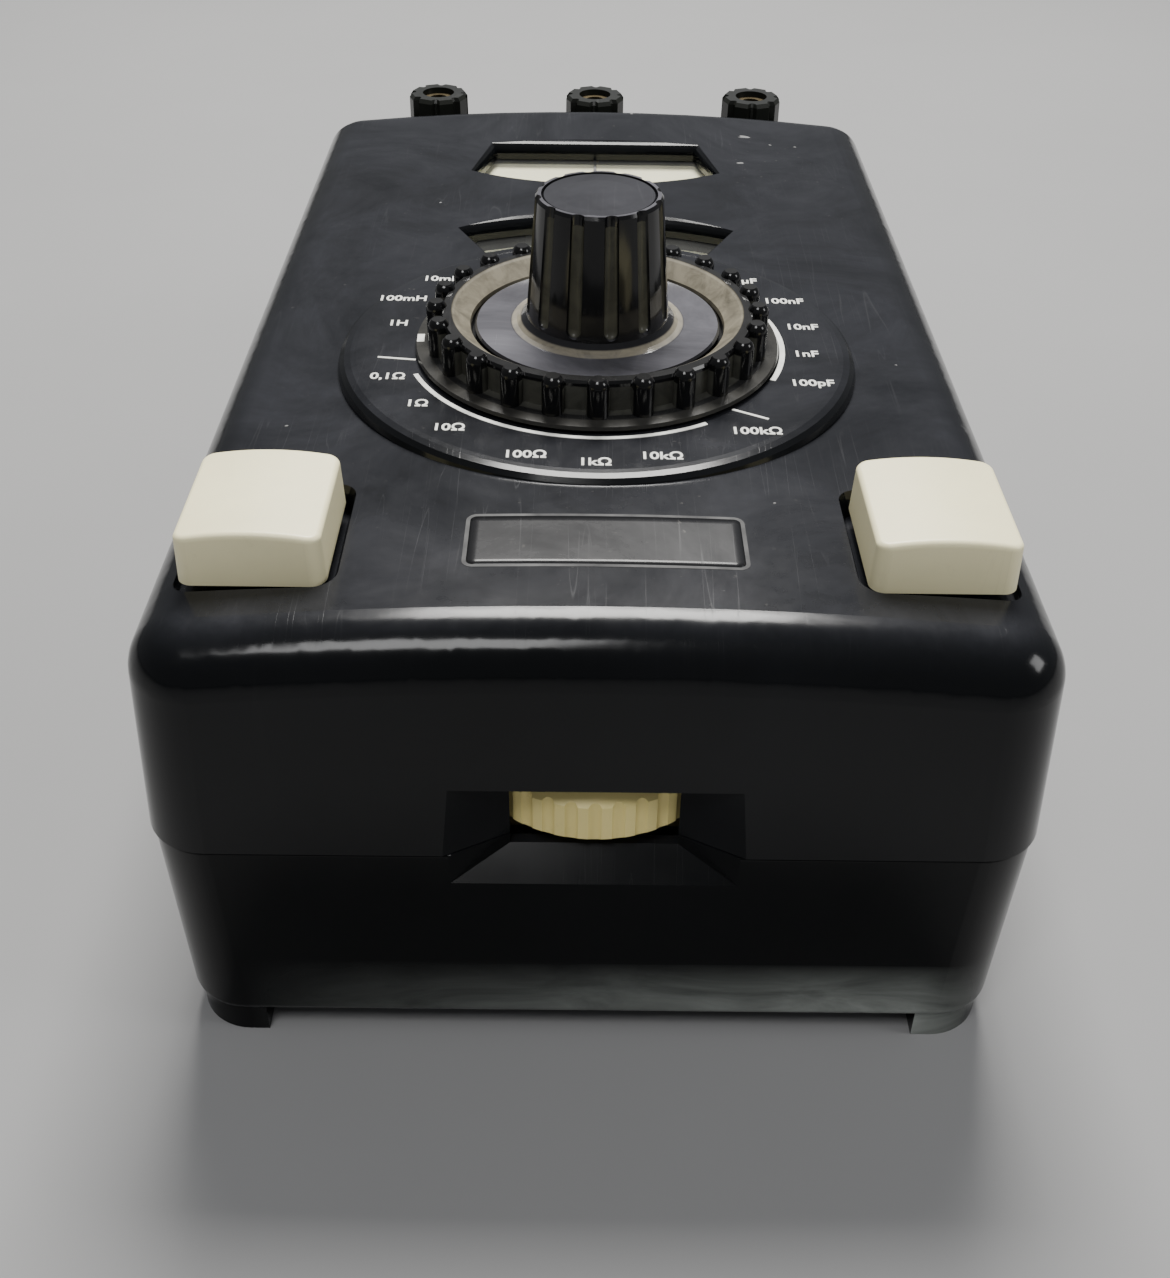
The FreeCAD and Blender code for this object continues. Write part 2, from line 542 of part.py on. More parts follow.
for s, side in ((-1, "left"), (1, "right")):
    x0 = s * BTN_X
    save("button_%s" % side, button_cap(s))
    stem = fuse([cyl(x0, BTN_Y, 46.0, BTN_Z0 + 3.6, 4.0), cyl(x0, BTN_Y, 44.6, 47.0, 5.6), cyl(x0, BTN_Y, 42.6, 44.7, 2.0)])
    save("stem_%s" % side, stem)
gd = []
for s in (-1, 1):
    gd.append(fuse([tube(s * BTN_X, BTN_Y, 50.0, 66.4, 6.6, 4.06), tube(s * BTN_X, BTN_Y, 64.4, 66.4, 9.0, 4.06)]))
save("button_guides", Part.makeCompound(gd))


def spring(x, y, z0, z1, r, w, turns, per_turn=14):
    # wire of eight-sided section, lofted straight from section to section
    wires = []
    n = turns * per_turn
    for i in range(n + 1):
        a = 2 * math.pi * i / per_turn
        zc = z0 + w / 2 + (z1 - z0 - w) * i / n
        pts = []
        for k in range(8):
            b = 2 * math.pi * k / 8
            rr = r + w / 2 * math.cos(b)
            pts.append(V(x + rr * math.cos(a), y + rr * math.sin(a), zc + w / 2 * math.sin(b)))
        wires.append(Part.makePolygon(pts + [pts[0]]))
    return Part.makeLoft(wires, True, True)


for s, side in ((-1, "left"), (1, "right")):
    save("spring_%s" % side, spring(s * BTN_X, BTN_Y, 35.05, 44.55, 3.3, 0.7, 6))
blk = []
for s in (-1, 1):
    x0 = s * BTN_X
    i = -s
    xa, xb = sorted((x0 + i * 10.0, x0 + i * 18.0))
    blk.append(box(xa, BTN_Y - 4, 35.0, xb, BTN_Y + 4, 40.2))
bl = []
for s in (-1, 1):
    x0 = s * BTN_X
    i = -s
    for z, reach in ((40.2, 5.4), (38.0, 5.2)):
        xa, xb = sorted((x0 + i * reach, x0 + i * (17.0 if z > 40 else 10.0)))
        bl.append(box(xa, BTN_Y - 2.5, z, xb, BTN_Y + 2.5, z + 0.4))
save("contact_sets", fuse(blk + bl))

# ---------------------------------------------------------------- thumbwheel and its control
tw = revolve([(2.5, TW_Z0), (TW_R - 1.0, TW_Z0), (TW_R, TW_Z0 + 0.9), (TW_R, TW_Z1 - 1.5), (TW_R - 1.6, TW_Z1),
              (2.5, TW_Z1)], 0, TW_Y)
nt = 36
for i in range(nt):
    g = cyl(0, TW_Y - TW_R - 0.45, TW_Z0 - 1, TW_Z1 + 1, 1.0)
    tw = tw.cut(rot(g, 360.0 / nt * i, 0, TW_Y))
save("thumbwheel", tw)
save("control_spindle", cyl(0, TW_Y, 27.5, TW_Z1 + 0.4, 2.5))
pb = fuse([tube(0, TW_Y, 24.0, Z_PLATE, 9.0, 6.5), cyl(0, TW_Y, 24.0, 25.6, 9.0), tube(0, TW_Y, 31.4, Z_PLATE, 9.0, 2.56),
           tube(0, TW_Y, 32.5, 36.8, 4.4, 2.56)])
save("control_body", pb)

# ---------------------------------------------------------------- terminals
names = ((-TERM_X, "left"), (0.0, "middle"), (TERM_X, "right"))
post, coll, nut = [], [], []
for x, n in names:
    p = fuse([cyl(x, TERM_Y, 46.0, Z_POST, 3.5), cyl(x, TERM_Y, 58.6, 60.0, 5.4)])
    p = p.cut(cyl(x, TERM_Y, Z_POST - 13.5, 80, 2.0))
    post.append(p)
    coll.append(fuse([tube(x, TERM_Y, Z_SHELF, 58.6, 6.6, 3.5), tube(x, TERM_Y, 53.5, Z_SHELF + 0.1, 4.0, 3.5)]))
    hx = Part.makePolygon([V(x + 6.2 * math.cos(math.radians(60 * i)), TERM_Y + 6.2 * math.sin(math.radians(60 * i)), 50.4)
                           for i in range(7)])
    nut.append(Part.Face(hx).extrude(V(0, 0, 3.0)).cut(cyl(x, TERM_Y, 40, 60, 3.5)))
    wsh = tube(x, TERM_Y, 60.05, 61.0, 5.6, 3.56)
    save("washer_%s" % n, wsh)
    # eight broad flat-sided lobes
    def lobes(z, k, x=x):
        pts = []
        for i in range(8):
            for d, r in ((-13.5, TERM_R), (13.5, TERM_R), (19.5, TERM_R - 1.0)):
                t = math.radians(45 * i + 22.5 * 0.9 + d)
                pts.append(V(x + k * r * math.cos(t), TERM_Y + k * r * math.sin(t), z))
            t = math.radians(45 * i + 22.5 * 0.9 + 25.5)
            pts.append(V(x + k * (TERM_R - 1.0) * math.cos(t), TERM_Y + k * (TERM_R - 1.0) * math.sin(t), z))
        return Part.makePolygon(pts + [pts[0]])
    c = fuse([loft([lobes(61.05, 0.93), lobes(61.6, 1.0)]), loft([lobes(61.6, 1.0), lobes(Z_TERM - 0.8, 0.985)]),
              loft([lobes(Z_TERM - 0.8, 0.985), lobes(Z_TERM, 0.90)])])
    c = c.cut(cyl(x, TERM_Y, 60, 80, 3.56))
    save("terminal_%s" % n, c)
save("terminal_posts", Part.makeCompound(post))
save("terminal_collars", Part.makeCompound(coll))
save("terminal_nuts", Part.makeCompound(nut))

# ---------------------------------------------------------------- component board
bd = rprism(-46, 22, 46, 58, 2, 38.6, 40.2)
for x in (-42, 42):
    for y in (26, 54):
        bd = bd.cut(cyl(x, y, 30, 45, 1.5))
save("component_board", bd)
rs = []
for i in range(7):
    x = -33 + 11 * i
    b = Part.makeCylinder(2.1, 9, V(x, 27, 43.0), V(0, 1, 0))
    l = Part.makeCylinder(0.35, 14, V(x, 24.5, 43.0), V(0, 1, 0))
    f1, f2 = cyl(x, 24.8, 40.2, 43.2, 0.35), cyl(x, 38.2, 40.2, 43.2, 0.35)
    rs.append(fuse([b, l, f1, f2]))
save("range_resistors", Part.makeCompound(rs))
cp = []
for i in range(4):
    x = -28 + 17 * i
    b = rprism(x - 6, 44, x + 6, 50, 1.5, 40.2, 46.6)
    cp.append(b)
save("range_capacitors", Part.makeCompound(cp))

# ---------------------------------------------------------------- battery and contact clips
bat = rprism(-31, 18.0, 31, 85.0, 2.0, 8.0, 30.0)
save("battery", bat)
cl = []
for x in (-14, 14):
    cl.append(fuse([box(x - 3, 86.4, 10.0, x + 3, 86.8, 33.0), box(x - 3, 85.0, 22.0, x + 3, 86.8, 22.4)]))
save("battery_clips", Part.makeCompound(cl))


# ---------------------------------------------------------------- wiring
def wire(pts, r=0.7):
    bs = Part.BSplineCurve()
    bs.interpolate([V(*p) for p in pts])
    e = bs.toShape()
    t = bs.tangent(bs.FirstParameter)[0]
    c = Part.Wire([Part.makeCircle(r, V(*pts[0]), t)])
    return Part.Wire([e]).makePipeShell([c], True, True)


ws = [wire([(-TERM_X, 95.2, 48.0), (-38, 88, 46), (-39, 72, 44.5), (-36.6, 60, 42.5), (-36, 54, 41.3)]),
      wire([(0.5, 94.6, 48.0), (9, 92.5, 46.8), (20, 87, 44.6), (24, 72, 43.5), (22, 61, 42.5), (20, 56, 41.3)]),
      wire([(TERM_X, 95.2, 48.0), (38, 88, 46), (39, 72, 44.5), (36.6, 60, 42.5), (36, 54, 41.3)]),
      wire([(-30, 24, 41.2), (-40, 5, 41.5), (-46, -30, 41), (-40, -66, 41.5), (-30, -78, 41.4)]),
      wire([(30, 24, 41.2), (40, 5, 41.5), (46, -30, 41), (40, -66, 41.5), (30, -78, 41.4)])]
save("wiring", Part.makeCompound(ws))
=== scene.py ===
import bpy
import bmesh
import math
from mathutils import Matrix, Vector


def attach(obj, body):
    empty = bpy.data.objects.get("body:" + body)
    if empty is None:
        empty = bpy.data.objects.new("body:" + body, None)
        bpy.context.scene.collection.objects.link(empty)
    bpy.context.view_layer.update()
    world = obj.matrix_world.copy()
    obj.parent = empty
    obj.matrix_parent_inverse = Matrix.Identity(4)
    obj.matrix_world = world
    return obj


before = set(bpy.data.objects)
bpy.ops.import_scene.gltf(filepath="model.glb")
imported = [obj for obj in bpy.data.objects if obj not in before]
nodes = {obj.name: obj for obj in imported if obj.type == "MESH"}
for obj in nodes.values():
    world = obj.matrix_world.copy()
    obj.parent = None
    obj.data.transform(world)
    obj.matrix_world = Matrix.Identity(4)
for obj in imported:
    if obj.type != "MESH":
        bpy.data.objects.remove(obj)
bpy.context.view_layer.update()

MM = 0.001
AX, AY = 0.0, -30.3          # dial axis, mm
Z_BOSS = 73.8
R_CROWN, Z_CROWN = 541.0, 72.8


def crown(x):
    return Z_CROWN - R_CROWN + math.sqrt(R_CROWN ** 2 - x * x)


# ---------------------------------------------------------------- node helpers
def new_mat(name):
    m = bpy.data.materials.new(name)
    m.use_nodes = True
    nt = m.node_tree
    for n in list(nt.nodes):
        nt.nodes.remove(n)
    out = nt.nodes.new("ShaderNodeOutputMaterial")
    b = nt.nodes.new("ShaderNodeBsdfPrincipled")
    nt.links.new(b.outputs["BSDF"], out.inputs["Surface"])
    return m, nt, b


def coords(nt, scale=(1, 1, 1), loc=(0, 0, 0), rot=(0, 0, 0)):
    tc = nt.nodes.new("ShaderNodeTexCoord")
    mp = nt.nodes.new("ShaderNodeMapping")
    mp.inputs["Scale"].default_value = scale
    mp.inputs["Location"].default_value = loc
    mp.inputs["Rotation"].default_value = rot
    nt.links.new(tc.outputs["Object"], mp.inputs["Vector"])
    return mp.outputs["Vector"]


def noise(nt, vec, scale, detail=4.0, rough=0.55, dist=0.0):
    n = nt.nodes.new("ShaderNodeTexNoise")
    n.inputs["Scale"].default_value = scale
    n.inputs["Detail"].default_value = detail
    n.inputs["Roughness"].default_value = rough
    n.inputs["Distortion"].default_value = dist
    nt.links.new(vec, n.inputs["Vector"])
    return n.outputs["Fac"]


def ramp(nt, fac, stops):
    r = nt.nodes.new("ShaderNodeValToRGB")
    els = r.color_ramp.elements
    while len(els) > 2:
        els.remove(els[-1])
    for i, (p, c) in enumerate(stops):
        e = els[i] if i < 2 else els.new(p)
        e.position = p
        e.color = c if len(c) == 4 else (c[0], c[1], c[2], 1)
    nt.links.new(fac, r.inputs["Fac"])
    return r.outputs["Color"]


def grey(a):
    return (a, a, a, 1)


def math_node(nt, op, a, b=None, clamp=False):
    n = nt.nodes.new("ShaderNodeMath")
    n.operation = op
    n.use_clamp = clamp
    for i, v in enumerate((a, b)):
        if v is None:
            continue
        if isinstance(v, (int, float)):
            n.inputs[i].default_value = v
        else:
            nt.links.new(v, n.inputs[i])
    return n.outputs[0]


def mix(nt, fac, a, b):
    n = nt.nodes.new("ShaderNodeMix")
    n.data_type = "RGBA"
    for sock, v in ((n.inputs["Factor"], fac), (n.inputs["A"], a), (n.inputs["B"], b)):
        if isinstance(v, (int, float)):
            sock.default_value = v
        elif isinstance(v, tuple):
            sock.default_value = v
        else:
            nt.links.new(v, sock)
    return n.outputs["Result"]


def bump(nt, b, height, strength=0.2, distance=0.0002):
    n = nt.nodes.new("ShaderNodeBump")
    n.inputs["Strength"].default_value = strength
    n.inputs["Distance"].default_value = distance
    nt.links.new(height, n.inputs["Height"])
    nt.links.new(n.outputs["Normal"], b.inputs["Normal"])


def scratches(nt, angle, density, width, seed):
    """Thin broken straight scratches: a stretched noise, thresholded."""
    v = coords(nt, scale=(density, density * 0.03, density * 0.03), rot=(0, 0, angle), loc=(seed, seed, seed))
    f = noise(nt, v, 6.0, 1.0, 0.4, 0.2)
    r = nt.nodes.new("ShaderNodeValToRGB")
    e = r.color_ramp.elements
    e[0].position, e[0].color = 0.5 - width, grey(0)
    e[1].position, e[1].color = 0.5, grey(1)
    k = e.new(0.5 + width)
    k.color = grey(0)
    nt.links.new(f, r.inputs["Fac"])
    gate = noise(nt, coords(nt, loc=(seed * 2, 3, 1)), 40.0, 2.0)
    g = ramp(nt, gate, [(0.52, grey(0)), (0.62, grey(1))])
    return math_node(nt, "MULTIPLY", r.outputs["Color"], g)


def radial_mask(nt, r0, r1, z_min, z_max, x=AX, y=AY, soft=0.25, taper=0.0):
    """1 inside a ring about an upright axis, measured in the part's own coordinates (mm)."""
    tc = nt.nodes.new("ShaderNodeTexCoord")
    sp = nt.nodes.new("ShaderNodeSeparateXYZ")
    nt.links.new(tc.outputs["Object"], sp.inputs["Vector"])
    dx = math_node(nt, "SUBTRACT", sp.outputs["X"], x * MM)
    dy = math_node(nt, "SUBTRACT", sp.outputs["Y"], y * MM)
    r = math_node(nt, "SQRT", math_node(nt, "ADD", math_node(nt, "MULTIPLY", dx, dx), math_node(nt, "MULTIPLY", dy, dy)))
    if taper:
        # a wall that leans inwards: measured back to its foot
        r = math_node(nt, "ADD", r, math_node(nt, "MULTIPLY", math_node(nt, "SUBTRACT", sp.outputs["Z"], z_min * MM), taper))

    def step(v, edge, up):
        k = 1.0 / (soft * MM)
        d = math_node(nt, "SUBTRACT", v, edge * MM) if up else math_node(nt, "SUBTRACT", edge * MM, v)
        return math_node(nt, "ADD", math_node(nt, "MULTIPLY", d, k), 0.5, clamp=True)

    m = math_node(nt, "MULTIPLY", step(r, r0, True), step(r, r1, False))
    m = math_node(nt, "MULTIPLY", m, step(sp.outputs["Z"], z_min, True))
    return math_node(nt, "MULTIPLY", m, step(sp.outputs["Z"], z_max, False))


def phenolic(name, base=(0.0022, 0.0025, 0.0029), haze=0.5, dust=0.5, rough=0.13, coat=0.0, scr=0.6, spec=0.24, dust_film_and_sheen_c=(0.030, 0.031, 0.037),
             rings=(), low_front_reflection=False):
    m, nt, b = new_mat(name)
    v = coords(nt)
    big = noise(nt, v, 14.0, 5.0, 0.6, 0.4)
    fine = noise(nt, v, 160.0, 6.0, 0.7)
    haze_c = tuple(min(1, c + h) for c, h in zip(base, (0.006 * haze, 0.0065 * haze, 0.008 * haze)))
    col = mix(nt, ramp(nt, big, [(0.35, grey(0)), (0.7, grey(1))]), base + (1,), haze_c + (1,))
    # upward faces get a bluish film, partly a settled dust film and partly a painted reflection of the bright ceiling,
    # and dust
    geo = nt.nodes.new("ShaderNodeNewGeometry")
    sep = nt.nodes.new("ShaderNodeSeparateXYZ")
    nt.links.new(geo.outputs["Normal"], sep.inputs["Vector"])
    upf = math_node(nt, "POWER", math_node(nt, "MAXIMUM", sep.outputs["Z"], 0.0), 10.0)
    dust_film_and_sheen = math_node(nt, "MULTIPLY", upf, ramp(nt, noise(nt, v, 30.0, 6.0, 0.7, 1.2), [(0.30, grey(0.30)), (0.50, grey(0.62)), (0.72, grey(1.0))]))
    col = mix(nt, math_node(nt, "MULTIPLY", dust_film_and_sheen, min(1.0, 1.5 * haze)), col, dust_film_and_sheen_c + (1,))
    specks = ramp(nt, noise(nt, v, 900.0, 2.0, 0.5), [(0.70, grey(0)), (0.78, grey(1))])
    patch = ramp(nt, noise(nt, v, 22.0, 3.0, 0.6), [(0.45, grey(0)), (0.75, grey(1))])
    sp = math_node(nt, "MULTIPLY", math_node(nt, "MULTIPLY", specks, patch), upf)
    col = mix(nt, math_node(nt, "MULTIPLY", sp, 0.45 * dust), col, (0.22, 0.21, 0.19, 1))
    s1 = scratches(nt, 0.35, 60.0, 0.006, 1.7)
    s2 = scratches(nt, -0.9, 45.0, 0.005, 5.2)
    s3 = scratches(nt, 1.15, 70.0, 0.004, 9.1)
    s = math_node(nt, "MAXIMUM", math_node(nt, "MAXIMUM", s1, s2), s3)
    s = math_node(nt, "MULTIPLY", s, math_node(nt, "ADD", math_node(nt, "MULTIPLY", upf, 0.85), 0.15))
    col = mix(nt, math_node(nt, "MULTIPLY", s, 0.07 * scr), col, (0.20, 0.20, 0.21, 1))
    rr = math_node(nt, "ADD", math_node(nt, "MULTIPLY", fine, 0.10), rough - 0.04)
    rr = math_node(nt, "ADD", rr, math_node(nt, "MULTIPLY", dust_film_and_sheen, 0.16 * haze))
    rr = math_node(nt, "ADD", rr, math_node(nt, "MULTIPLY", s, 0.10 * scr))
    for (r0, r1, z0, z1, c, k, tp) in rings:
        n1 = ramp(nt, noise(nt, v, 260.0, 5.0, 0.7, 0.6), [(0.30, grey(0.45)), (0.62, grey(1))])
        mk = math_node(nt, "MULTIPLY", math_node(nt, "MULTIPLY", radial_mask(nt, r0, r1, z0, z1, taper=tp), n1), k)
        col = mix(nt, mk, col, c + (1,))
        rr = math_node(nt, "ADD", rr, math_node(nt, "MULTIPLY", mk, 0.6))
    if low_front_reflection:
        # a pale painted reflection of a bright light low on the front wall, stronger towards the right, on faces turned
        # to the front
        tc = nt.nodes.new("ShaderNodeTexCoord")
        so = nt.nodes.new("ShaderNodeSeparateXYZ")
        nt.links.new(tc.outputs["Object"], so.inputs["Vector"])
        fx = math_node(nt, "MULTIPLY", math_node(nt, "SUBTRACT", so.outputs["X"], -0.050), 11.0, clamp=True)
        fx = math_node(nt, "MULTIPLY", fx, math_node(nt, "MULTIPLY", math_node(nt, "SUBTRACT", 0.058, so.outputs["X"]), 90.0, clamp=True))
        fz = math_node(nt, "MULTIPLY", math_node(nt, "SUBTRACT", 0.0165, so.outputs["Z"]), 95.0, clamp=True)
        fy = math_node(nt, "MULTIPLY", math_node(nt, "SUBTRACT", -0.60, sep.outputs["Y"]), 5.0, clamp=True)
        reflection_mask = math_node(nt, "MULTIPLY", math_node(nt, "MULTIPLY", fx, fz), math_node(nt, "MULTIPLY", fy, ramp(nt, noise(nt, coords(nt, scale=(1, 1, 3)), 45.0, 5.0, 0.6, 1.0), [(0.25, grey(0.35)), (0.65, grey(1))])))
        col = mix(nt, math_node(nt, "MULTIPLY", reflection_mask, 0.9), col, (0.42, 0.45, 0.42, 1))
        rr = math_node(nt, "ADD", rr, math_node(nt, "MULTIPLY", reflection_mask, 0.12))
    nt.links.new(col, b.inputs["Base Color"])
    nt.links.new(rr, b.inputs["Roughness"])
    b.inputs["Specular IOR Level"].default_value = spec
    b.inputs["Coat Weight"].default_value = coat
    b.inputs["Coat Roughness"].default_value = 0.10
    h = math_node(nt, "ADD", math_node(nt, "MULTIPLY", big, 0.8), math_node(nt, "MULTIPLY", fine, 0.12))
    h = math_node(nt, "SUBTRACT", h, math_node(nt, "MULTIPLY", s, 0.2))
    bump(nt, b, h, 0.08, 0.0004)
    return m


def cream(name, base=(0.77, 0.74, 0.60), dirt_and_crease_shade=(0.42, 0.37, 0.24), rough=0.42, grime_and_crease_shade=0.5):
    m, nt, b = new_mat(name)
    v = coords(nt)
    big = noise(nt, v, 60.0, 5.0, 0.6, 0.3)
    fine = noise(nt, v, 700.0, 4.0, 0.65)
    col = mix(nt, ramp(nt, big, [(0.38, grey(0)), (0.78, grey(1))]), base + (1,), tuple(c * 0.90 for c in base) + (1,))
    spots = ramp(nt, noise(nt, v, 420.0, 3.0, 0.6), [(0.66, grey(0)), (0.76, grey(1))])
    col = mix(nt, math_node(nt, "MULTIPLY", spots, 0.35 * grime_and_crease_shade), col, dirt_and_crease_shade + (1,))
    geo = nt.nodes.new("ShaderNodeNewGeometry")
    # painted shade: concave creases (low pointiness) are darkened towards the dirt colour
    crease_shade = ramp(nt, geo.outputs["Pointiness"], [(0.44, grey(1)), (0.49, grey(0))])
    col = mix(nt, math_node(nt, "MULTIPLY", crease_shade, grime_and_crease_shade), col, dirt_and_crease_shade + (1,))
    s = scratches(nt, 0.6, 120.0, 0.008, 3.3)
    col = mix(nt, math_node(nt, "MULTIPLY", s, 0.18), col, dirt_and_crease_shade + (1,))
    nt.links.new(col, b.inputs["Base Color"])
    nt.links.new(math_node(nt, "ADD", math_node(nt, "MULTIPLY", fine, 0.2), rough - 0.1), b.inputs["Roughness"])
    b.inputs["Subsurface Weight"].default_value = 0.04
    b.inputs["Subsurface Radius"].default_value = (0.002, 0.0016, 0.001)
    bump(nt, b, math_node(nt, "ADD", math_node(nt, "MULTIPLY", big, 0.5), math_node(nt, "MULTIPLY", fine, 0.25)), 0.12, 0.0003)
    return m


def metal(name, base, rough=0.3, tarnish=(0.2, 0.13, 0.06), amt=0.5):
    m, nt, b = new_mat(name)
    v = coords(nt)
    big = noise(nt, v, 90.0, 5.0, 0.6, 0.5)
    fine = noise(nt, coords(nt, scale=(1, 1, 30)), 300.0, 3.0)
    col = mix(nt, math_node(nt, "MULTIPLY", ramp(nt, big, [(0.4, grey(0)), (0.8, grey(1))]), amt), base + (1,), tarnish + (1,))
    nt.links.new(col, b.inputs["Base Color"])
    b.inputs["Metallic"].default_value = 1.0
    nt.links.new(math_node(nt, "ADD", math_node(nt, "MULTIPLY", fine, 0.25), rough - 0.1), b.inputs["Roughness"])
    bump(nt, b, fine, 0.06, 0.0001)
    return m


def plain(name, base, alt, rough=0.5, scale=120.0, streak=(1, 1, 1), spec=0.4):
    m, nt, b = new_mat(name)
    v = coords(nt, scale=streak)
    f = noise(nt, v, scale, 5.0, 0.6, 0.4)
    col = mix(nt, ramp(nt, f, [(0.35, grey(0)), (0.72, grey(1))]), base + (1,), alt + (1,))
    nt.links.new(col, b.inputs["Base Color"])
    nt.links.new(math_node(nt, "ADD", math_node(nt, "MULTIPLY", f, 0.2), rough - 0.1), b.inputs["Roughness"])
    b.inputs["Specular IOR Level"].default_value = spec
    bump(nt, b, f, 0.1, 0.0002)
    return m


def pane(name):
    """Clear sheet: mostly see-through, with a thin glossy reflection and a little film."""
    m = bpy.data.materials.new(name)
    m.use_nodes = True
    nt = m.node_tree
    for n in list(nt.nodes):
        nt.nodes.remove(n)
    out = nt.nodes.new("ShaderNodeOutputMaterial")
    tr = nt.nodes.new("ShaderNodeBsdfTransparent")
    tr.inputs["Color"].default_value = (0.97, 0.975, 0.96, 1)
    gl = nt.nodes.new("ShaderNodeBsdfPrincipled")
    v = coords(nt)
    f = noise(nt, v, 90.0, 5.0, 0.6, 0.4)
    nt.links.new(mix(nt, f, (0.55, 0.56, 0.55, 1), (0.40, 0.40, 0.38, 1)), gl.inputs["Base Color"])
    nt.links.new(math_node(nt, "MULTIPLY", f, 0.25), gl.inputs["Roughness"])
    gl.inputs["Specular IOR Level"].default_value = 0.5
    mx = nt.nodes.new("ShaderNodeMixShader")
    nt.links.new(math_node(nt, "ADD", math_node(nt, "MULTIPLY", f, 0.05), 0.02), mx.inputs["Fac"])
    nt.links.new(tr.outputs["BSDF"], mx.inputs[1])
    nt.links.new(gl.outputs["BSDF"], mx.inputs[2])
    nt.links.new(mx.outputs["Shader"], out.inputs["Surface"])
    return m


TAN = (0.30, 0.27, 0.20)
M = {
    "shell": phenolic("case_moulding"),
    # the base moulding carries a pale painted reflection low on its front wall
    "low": phenolic("case_base_moulding", base=(0.0018, 0.0021, 0.0022), haze=0.3, rough=0.16, spec=0.18, low_front_reflection=True),
    "ring": phenolic("ring_moulding", base=(0.0045, 0.0045, 0.0048), haze=0.3, dust=0.9, rough=0.12, coat=0.2, scr=0.4, dust_film_and_sheen_c=(0.05, 0.05, 0.05),
                     rings=((19.7, 22.7, 77.2, 81.5, TAN, 0.72, 0.0), (23.9, 25.6, 75.3, 79.2, (0.105, 0.105, 0.088), 0.6, 0.0),
                            (26.6, 29.0, 74.4, 75.6, (0.20, 0.19, 0.16), 0.12, 0.0))),
    # the knob's pale bluish film on its upward faces is mostly a painted reflection of the ceiling on the skirt disc
    "knob": phenolic("knob_moulding", base=(0.0045, 0.0045, 0.005), haze=0.75, dust=0.8, rough=0.12, coat=0.2, scr=0.5, dust_film_and_sheen_c=(0.13, 0.128, 0.145),
                     rings=((12.0, 13.4, 77.5, 78.9, TAN, 0.75, 0.0), (5.0, 10.7, 79.4, 96.8, (0.085, 0.083, 0.06), 0.8, 0.079))),
    "cap": phenolic("knob_cap_moulding", base=(0.010, 0.010, 0.012), haze=0.7, dust=0.5, rough=0.07, coat=0.6, scr=0.8, dust_film_and_sheen_c=(0.045, 0.045, 0.052)),
    "term": phenolic("terminal_moulding", base=(0.012, 0.013, 0.0105), haze=0.2, dust=0.4, rough=0.30, spec=0.25),
    "btn": cream("button_plastic", base=(0.95, 0.88, 0.56), dirt_and_crease_shade=(0.50, 0.44, 0.24), rough=0.40, grime_and_crease_shade=0.35),
    "wheel": cream("wheel_plastic", base=(0.93, 0.79, 0.32), dirt_and_crease_shade=(0.36, 0.29, 0.10), grime_and_crease_shade=0.8),
    "scale": cream("scale_enamel", base=(0.96, 0.92, 0.70), dirt_and_crease_shade=(0.55, 0.49, 0.32), rough=0.5, grime_and_crease_shade=0.25),
    "brass": metal("worked_brass", (0.60, 0.44, 0.18)),
    "post": metal("tarnished_post", (0.10, 0.08, 0.045), 0.4, (0.05, 0.035, 0.02), 0.6),
    "steel": metal("plated_steel", (0.52, 0.52, 0.53), 0.35, (0.25, 0.2, 0.15), 0.35),
    "alu": metal("bare_aluminium", (0.66, 0.67, 0.69), 0.4, (0.45, 0.45, 0.46), 0.4),
    "iron": metal("dark_magnet_steel", (0.16, 0.16, 0.17), 0.45, (0.1, 0.06, 0.04), 0.5),
    "lam": plain("laminate_board", (0.26, 0.13, 0.05), (0.18, 0.08, 0.03), 0.45, 60.0, (6, 1, 1)),
    "card": plain("battery_card", (0.16, 0.20, 0.27), (0.12, 0.14, 0.19), 0.7, 90.0),
    "wire": plain("wire_sleeve", (0.34, 0.03, 0.02), (0.22, 0.02, 0.02), 0.5, 200.0),
    "cer": plain("ceramic_body", (0.50, 0.40, 0.28), (0.38, 0.28, 0.18), 0.5, 150.0),
    "wax": plain("waxed_body", (0.42, 0.27, 0.07), (0.30, 0.18, 0.05), 0.45, 110.0),
    "pane": pane("window_pane"),
}
M["white"] = plain("legend_ink", (0.80, 0.80, 0.76), (0.62, 0.62, 0.58), 0.6, 500.0, spec=0.2)
M["ink"] = plain("dark_ink", (0.02, 0.02, 0.02), (0.05, 0.05, 0.05), 0.7, 500.0, spec=0.2)
M["worn"] = phenolic("worn_patch", base=(0.006, 0.006, 0.0065), haze=0.8, dust=0.8, rough=0.20, scr=1.2, dust_film_and_sheen_c=(0.036, 0.036, 0.038))
M["edge"] = plain("worn_edge", (0.10, 0.10, 0.10), (0.035, 0.035, 0.037), 0.6, 160.0, spec=0.2)
M["dust"] = plain("settled_dust", (0.26, 0.26, 0.26), (0.12, 0.12, 0.12), 0.9, 350.0, spec=0.1)

